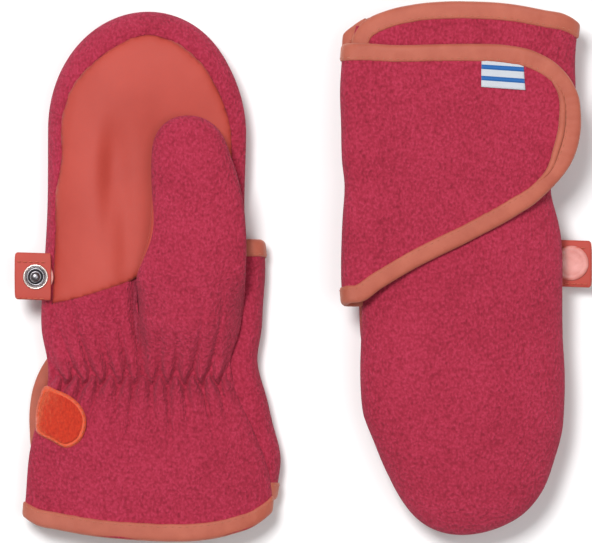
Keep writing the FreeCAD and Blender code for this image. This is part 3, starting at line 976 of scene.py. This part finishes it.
# How far each mitten's tab lies off the common place.
TAB_LIE = {"right": (0.6, 1.6, -1.0), "left": (0.9, -0.8, 1.0)}


def tab_strap():
    """Doubled strip of cloth with rounded edges, sewn into the seam, slightly bowed."""
    rows, columns = 30, 26
    co = []
    for i in range(rows):
        t = i / (rows - 1)
        x = TAB_ROOT_X - TAB_RUN * t
        for j in range(columns):
            a = 2 * math.pi * j / columns
            c, s = math.cos(a), math.sin(a)
            c = math.copysign(abs(c) ** 0.28, c)
            s = math.copysign(abs(s) ** 0.7, s)
            narrow = 1 - 0.10 * smooth((t - 0.93) / 0.07)
            y = SNAP[1] + TAB_HALF_WIDTH * c * narrow + 0.5 * t
            thin = TAB_HALF_THICK * (1 - 0.45 * smooth((t - 0.95) / 0.05))
            co.append((x, y, TAB_Z + thin * s))
    co = np.array(co)
    faces = [tuple(reversed(f)) for f in grid(rows, columns, closed=True)]
    faces += [tuple(range(columns)), tuple(reversed(range((rows - 1) * columns, rows * columns)))]
    return co, faces


# Sections of the press fastener, as (radius, height over the tab's face).
CAP = [(0.0, -1.35), (1.6, -1.34), (1.9, -1.2), (2.2, -1.34), (4.9, -1.3), (5.2, -1.12), (5.6, -1.25),
       (6.7, -1.2), (7.2, -0.95), (7.4, -0.5), (7.3, -0.05), (6.8, 0.05), (0.0, 0.05)]
RING = [(5.2, -0.05), (5.35, 0.25), (5.2, 0.6), (4.85, 0.75), (4.55, 0.6), (4.4, 0.25), (4.4, -0.05)]
BOWL = [(4.42, 0.12), (4.0, 0.2), (3.75, 0.62), (3.2, 0.66), (2.9, 0.45), (2.5, 0.1)]
STUD = [(2.2, 0.05), (1.7, 0.2), (1.45, 0.8), (1.6, 1.6), (1.95, 2.2), (1.9, 2.8), (1.5, 3.3), (0.8, 3.5),
        (0.0, 3.55)]
SOCKET = [(2.3, 0.3), (2.5, 2.2), (2.3, 2.7), (2.0, 2.6), (1.9, 1.0), (1.8, 0.4), (0.0, 0.4)]


def knurl(point, angle):
    """Ripple of the bowl's raised rim, which is its third and fourth points."""
    return 0.07 * math.cos(36 * angle) if point in (2, 3) else 0


def lathe(profile, base, steps=72, wobble=None):
    """A turned piece of the fastener from (radius, height over base) points."""
    co, faces = [], []
    for k in range(steps):
        a = 2 * math.pi * k / steps
        for i, (r, z) in enumerate(profile):
            r2 = r + (wobble(i, a) if wobble else 0)
            co.append((SNAP[0] + r2 * math.cos(a), SNAP[1] + r2 * math.sin(a), base + z))
    n = len(profile)
    for k in range(steps):
        for i in range(n - 1):
            b = (k + 1) % steps
            faces.append((k * n + i, k * n + i + 1, b * n + i + 1, b * n + i))
    return np.array(co), [tuple(reversed(f)) for f in faces]


def hand_lining(inset):
    """Bag that lines hand and cuff, open at the cuff."""
    past_tip = TIP_Y + (TIP_B - inset) * np.sin(np.linspace(0.05, math.pi / 2 - 0.02, 24))
    ys = np.concatenate([np.linspace(CUFF_Y, TIP_Y, 70), past_tip])
    angles = np.linspace(-180, 180, 96, endpoint=False)
    y = ys[:, None] * np.ones(len(angles))
    co = bag(np.ones(len(ys))[:, None] * angles, y, inset)
    for i in np.flatnonzero(ys < 0):
        t = (ys[i] - CUFF_Y) / -CUFF_Y
        for _ in range(4):
            y[i] = (hem(co[i, :, 0]) + 1.0) * (1 - t)
            co[i] = bag(angles, y[i], inset)
    faces = [tuple(reversed(f)) for f in grid(len(ys), len(angles), closed=True)]
    n = (len(ys) - 1) * len(angles)
    faces.append(tuple(reversed(range(n, n + len(angles)))))
    return co.reshape(-1, 3), faces


# ------------------------------------------------------------------ build both mittens
def finish_piece(piece, body, slot, nodes=()):
    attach(piece, body)
    if nodes:
        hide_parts(*nodes)


def build_panels(side):
    for name, (co, faces), look, thick, slot, node, flat, held, area in (
            ("back", back_panel(), M_FLEECE, FLEECE, "fleece", "_back_panel",
             (0.15, 0.245), "folded", 0.0265),
            ("palm", palm_patch(), M_PATCH, SOFTSHELL, "softshell", "_palm_patch",
             (0.09, 0.125), "stretched", 0.0076),
            ("heel", palm_heel(), M_FLEECE, FLEECE, "fleece", "_palm_heel",
             (0.135, 0.12), "gathered", 0.0118),
            ("hand_lining_bag", hand_lining(FLEECE + 1.4), M_LINING, 0.8, "lining", "_hand_lining",
             (0.21, 0.23), "folded", 0.039)):
        panel = make(name, side, co, faces, look, thick)
        finish_piece(panel, side + "_mitten", slot, [side + node])


def build_cuff(side):
    tapes, threads = [], []
    for name, point, path in cuff_tapes():
        co, faces, line, outward = folded_tape(point, path)
        tapes.append(make(name + "_tape", side, co, faces, M_BINDING))
        threads.append(stitches(name + "_stitches", side, line, outward, M_THREAD))
    body = side + "_mitten"
    finish_piece(join(side + "_cuff_tape", tapes), body, "binding", [side + "_cuff_binding"])
    finish_piece(join(side + "_cuff_stitches", threads), body, "binding")


def build_loop_patch(side):
    """Soft half of the closure: a border, the pile inside it and the stitches between them."""
    body = side + "_mitten"
    edge = trace(LOOP_PATCH, 70, closed=True)
    middle = edge.mean(0)

    def surface(x, y):
        return palm_z(x, y) + puff(x, y) + 0.3

    def pile_floor(x, y):
        return surface(x, y) + 0.8

    co, faces = pad(edge, surface, 0.9)
    border = make("loop_border", side, co, faces, M_LOOP_EDGE, 0.8)
    finish_piece(border, body, "loop_tape", [side + "_loop_patch"])
    co, faces = pad(middle + (edge - middle) * 0.88, pile_floor, 0.7, 0.8)
    co[:, 2] += lumps(co, 1.4, 0.35, 31)
    finish_piece(make("loop_pile", side, co, faces, M_LOOP, 0.5, 1), body, "loop_tape")
    ring = middle + (edge - middle) * 0.93
    ring = np.vstack([ring, ring[:1]])
    line = np.column_stack([ring, surface(ring[:, 0], ring[:, 1]) + 0.95])
    outward = np.tile([0, 0, 1.0], (len(line), 1))
    thread = stitches("loop_stitches", side, line, outward, M_BRIGHT_THREAD, 2.0, 0.8, 0.4)
    finish_piece(thread, body, "loop_tape")


def build_elastic(side):
    """Band inside the wrist, rippled by the pleats that it gathers."""
    section = [(-3.5, 0), (-1.2, 0.25), (1.2, 0.25), (3.5, 0)]
    columns = np.linspace(-30, 28, 120)
    co = []
    for x in columns:
        level = float(palm_z(np.float64(x), np.float64(0.0))) - ELASTIC_DEPTH
        ripple = 0.5 * math.sin(x * 2 * math.pi / PLEAT_STEP)
        co += [(x, y, level + bulge + ripple) for y, bulge in section]
    faces = [tuple(reversed(f)) for f in grid(len(columns), len(section))]
    band = make("elastic_band", side, np.array(co), faces, M_ELASTIC, 0.8)
    finish_piece(band, side + "_mitten", "elastic", [side + "_wrist_elastic"])


def build_thumb(side):
    body, base = side + "_thumb", side + "_mitten"
    root, free = place(side, np.array([[20.0, ROOT_Y + 1, THUMB_Z], [20.0, 52.0, THUMB_Z]]))
    for name, (co, faces), look, thick, slot, node, flat, area in (
            ("thumb_fleece", thumb_front(), M_FLEECE, FLEECE, "fleece", "_thumb_front",
             (0.065, 0.095), 0.0046),
            ("thumb_inner", thumb_back(), M_PATCH, SOFTSHELL, "softshell", "_thumb_back",
             (0.05, 0.08), 0.0030)):
        piece = make(name, side, co, faces, look, thick, clamp=2.0)
        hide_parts(side + node)
        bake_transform(piece)
    co, faces = thumb_loft(lambda y: 0 * y - 180, lambda y: 0 * y + 180, 50.0, 64, 40, inset=3.2)
    lining = make("thumb_lining_bag", side, co, faces, M_LINING, 0.6)
    finish_piece(lining, body, "lining", [side + "_thumb_lining"])


def build_flap(side):
    body, base = side + "_flap", side + "_mitten"
    high_z, low_z = place(side, np.array([[48.0, 5.0, 13.6], [48.0, 5.0, 4.5]]))

    def bend(piece, nodes=()):
        if nodes:
            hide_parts(*nodes)
        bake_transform(piece)

    def point(w, y, out):
        return flap_point(np.float64(w), np.float64(y), FLEECE / 2 + out, side)

    def inner_face(x, y):
        return flap_point(x, y, -FLEECE / 2, side)[:, 2]

    co, faces = wrap_flap(side)
    flap = make("flap_fleece", side, co, faces, M_FLEECE, FLEECE)
    bend(flap, [side + "_wrap_flap"])
    co, faces, line, outward = folded_tape(point, flap_path(), inner=FLEECE)
    bend(make("flap_tape", side, co, faces, M_BINDING), [side + "_flap_binding"])
    bend(stitches("flap_stitches", side, line, outward, M_THREAD))

    if side == "left":  # the tape's inner edge curls up round the tip
        profile = [(-0.2, 0.3), (-0.5, 0.9), (0.1, 1.5), (1.1, 1.75), (2.1, 1.3), (2.5, 0.6), (2.2, 0.1)]
        co, faces, _, _ = sweep(point, trace(LIP, 90), profile, tapered=True)
        bend(make("flap_lip", side, co, faces, M_BINDING))

    co, faces = pad(trace(HOOK_PATCH, 60, closed=True), inner_face, 0.5)
    hook = make("hook_base", side, co, faces, M_HOOK, 0.4)
    finish_piece(hook, body, "hook_tape", [side + "_hook_patch"])

    build_label(side, body)


LABEL_X, LABEL_Y = (-27.8, -8.7), (-42.5, -30.4)
LABEL_COLUMNS, LABEL_ROWS = 24, 14
LABEL_BANDS = ((3, 5), (8, 10))    # first and last row of each


def build_label(side, body):
    """Folded woven ribbon, held under the flap's binding, with plain blue bands."""
    co = []
    for u in np.linspace(0, 1, LABEL_COLUMNS):
        for v in np.linspace(0, 1, LABEL_ROWS):
            x = LABEL_X[0] + (LABEL_X[1] - LABEL_X[0]) * u + 0.6 * v
            y = LABEL_Y[0] + (LABEL_Y[1] - LABEL_Y[0]) * v - 1.3 * (u - 0.5)
            x, y, z = flap_point(x, y, FLEECE / 2, side)
            co.append((x, y, z - 0.35 - 0.5 * v ** 2 - 0.12 * math.sin(u * 9)))
    co = np.array(co)
    label = make("label_ribbon", side, co, grid(LABEL_COLUMNS, LABEL_ROWS), M_LABEL, 0.35)
    finish_piece(label, body, "label", [side + "_woven_label"])
    bands = []
    for first, last in LABEL_BANDS:
        band = co.reshape(LABEL_COLUMNS, LABEL_ROWS, 3)[:, first:last + 1].reshape(-1, 3).copy()
        band[:, 2] -= 0.06
        faces = grid(LABEL_COLUMNS, last - first + 1)
        bands.append(make("band%d" % first, side, band, faces, M_BAND, 0.05))
    finish_piece(join(side + "_label_bands", bands), body, "label")


def tab_piece(name, side, co, faces, material):
    """A piece of the tab, rounded once, where this mitten's tab lies."""
    return make(name, side, co + TAB_LIE[side], faces, material, levels=1, lies=False)


def build_tab(side):
    body = side + "_tab"
    strap = tab_piece("tab_cloth", side, *tab_strap(), M_PATCH)
    finish_piece(strap, body, "softshell", [side + "_tab_strap"])
    rows = []
    xs = np.linspace(-42.5, -55.2, 12)
    for up in (1.0, -1.0):
        z = TAB_Z + (TAB_HALF_THICK - 0.06) * up
        for y in (35.4, 50.7):
            line = np.column_stack([xs, y + 0.028 * (TAB_ROOT_X - xs), np.full(12, z)])
            outward = np.tile([0, 0, up], (12, 1))
            rows.append(stitches("tab_row", side, line, outward, M_BRIGHT_THREAD, 1.7, 0.8, 0.3))
    finish_piece(join(side + "_tab_stitches", rows), body, "softshell")

    co, faces = lathe(CAP, TAB_Z - TAB_HALF_THICK)
    cap = tab_piece("cap", side, co, [tuple(reversed(f)) for f in faces], M_RUBBER)
    finish_piece(cap, body, "cap", [side + "_snap_cap"])
    top = TAB_Z + TAB_HALF_THICK
    ring = tab_piece("snap_ring", side, *lathe(RING, top, 96), M_RING)
    finish_piece(ring, body, "snap_metal")
    half, section = ("stud", STUD) if side == "right" else ("socket", SOCKET)
    bowl = tab_piece("snap_bowl", side, *lathe(BOWL + section, top, 144, knurl), M_STEEL)
    finish_piece(bowl, body, "snap_metal", [side + "_snap_" + half])


for mitten in SIDES:
    build_panels(mitten)
    build_cuff(mitten)
    build_loop_patch(mitten)
    build_elastic(mitten)
    build_thumb(mitten)
    build_flap(mitten)
    build_tab(mitten)


# ------------------------------------------------------------------ floor, light and camera
FLOOR_HALF = 3.0              # metres, as are the other places here
FLOOR_Z = -0.0015
LAMPS = (("key", (-0.3, 0.42, 1.5), 0.4, 20.0), ("fill", (0.4, -0.1, 1.5), 0.6, 5.0))
EYE = (-3.57 * MM, 0.546 * MM, 1.818)
EYE_TO_HAND = 1.8             # down to the mittens' middle height
FRAME_WIDTH = 248.64 * MM     # of what the picture shows at that height
SENSOR = 36


def stage():
    mesh = bpy.data.meshes.new("floor")
    corners = [(x * FLOOR_HALF, y * FLOOR_HALF, 0) for x, y in ((-1, -1), (1, -1), (1, 1), (-1, 1))]
    mesh.from_pydata(corners, [], [(0, 1, 2, 3)])
    floor = bpy.data.objects.new("floor", mesh)
    floor.location.z = FLOOR_Z
    bpy.context.scene.collection.objects.link(floor)
    paper = Look("paper", 0.9)
    paper.colour(paper.ramp(paper.noise(3, 1), [(0.3, (0.93, 0.93, 0.93, 1)), (0.7, (0.95, 0.95, 0.95, 1))]))
    mesh.materials.append(paper.material)

    world = bpy.data.worlds.new("studio")
    bpy.context.scene.world = world
    world.use_nodes = True
    sky = world.node_tree.nodes["Background"]
    socket_value(sky, "Color", (1, 1, 1, 1))
    socket_value(sky, "Strength", 0.33)

    for name, where, size, power in LAMPS:
        lamp = bpy.data.lights.new(name, "AREA")
        lamp.energy, lamp.size = power, size
        light = bpy.data.objects.new(name, lamp)
        light.location = where
        light.rotation_euler = (-Vector(where)).to_track_quat("-Z", "Y").to_euler()
        bpy.context.scene.collection.objects.link(light)

    camera = bpy.data.cameras.new("camera")
    camera.sensor_width = SENSOR
    camera.lens = SENSOR * EYE_TO_HAND / FRAME_WIDTH
    camera.clip_end = 10
    eye = bpy.data.objects.new("camera", camera)
    eye.location = EYE
    bpy.context.scene.collection.objects.link(eye)
    bpy.context.scene.camera = eye
    bpy.context.scene.view_settings.view_transform = "Standard"


stage()
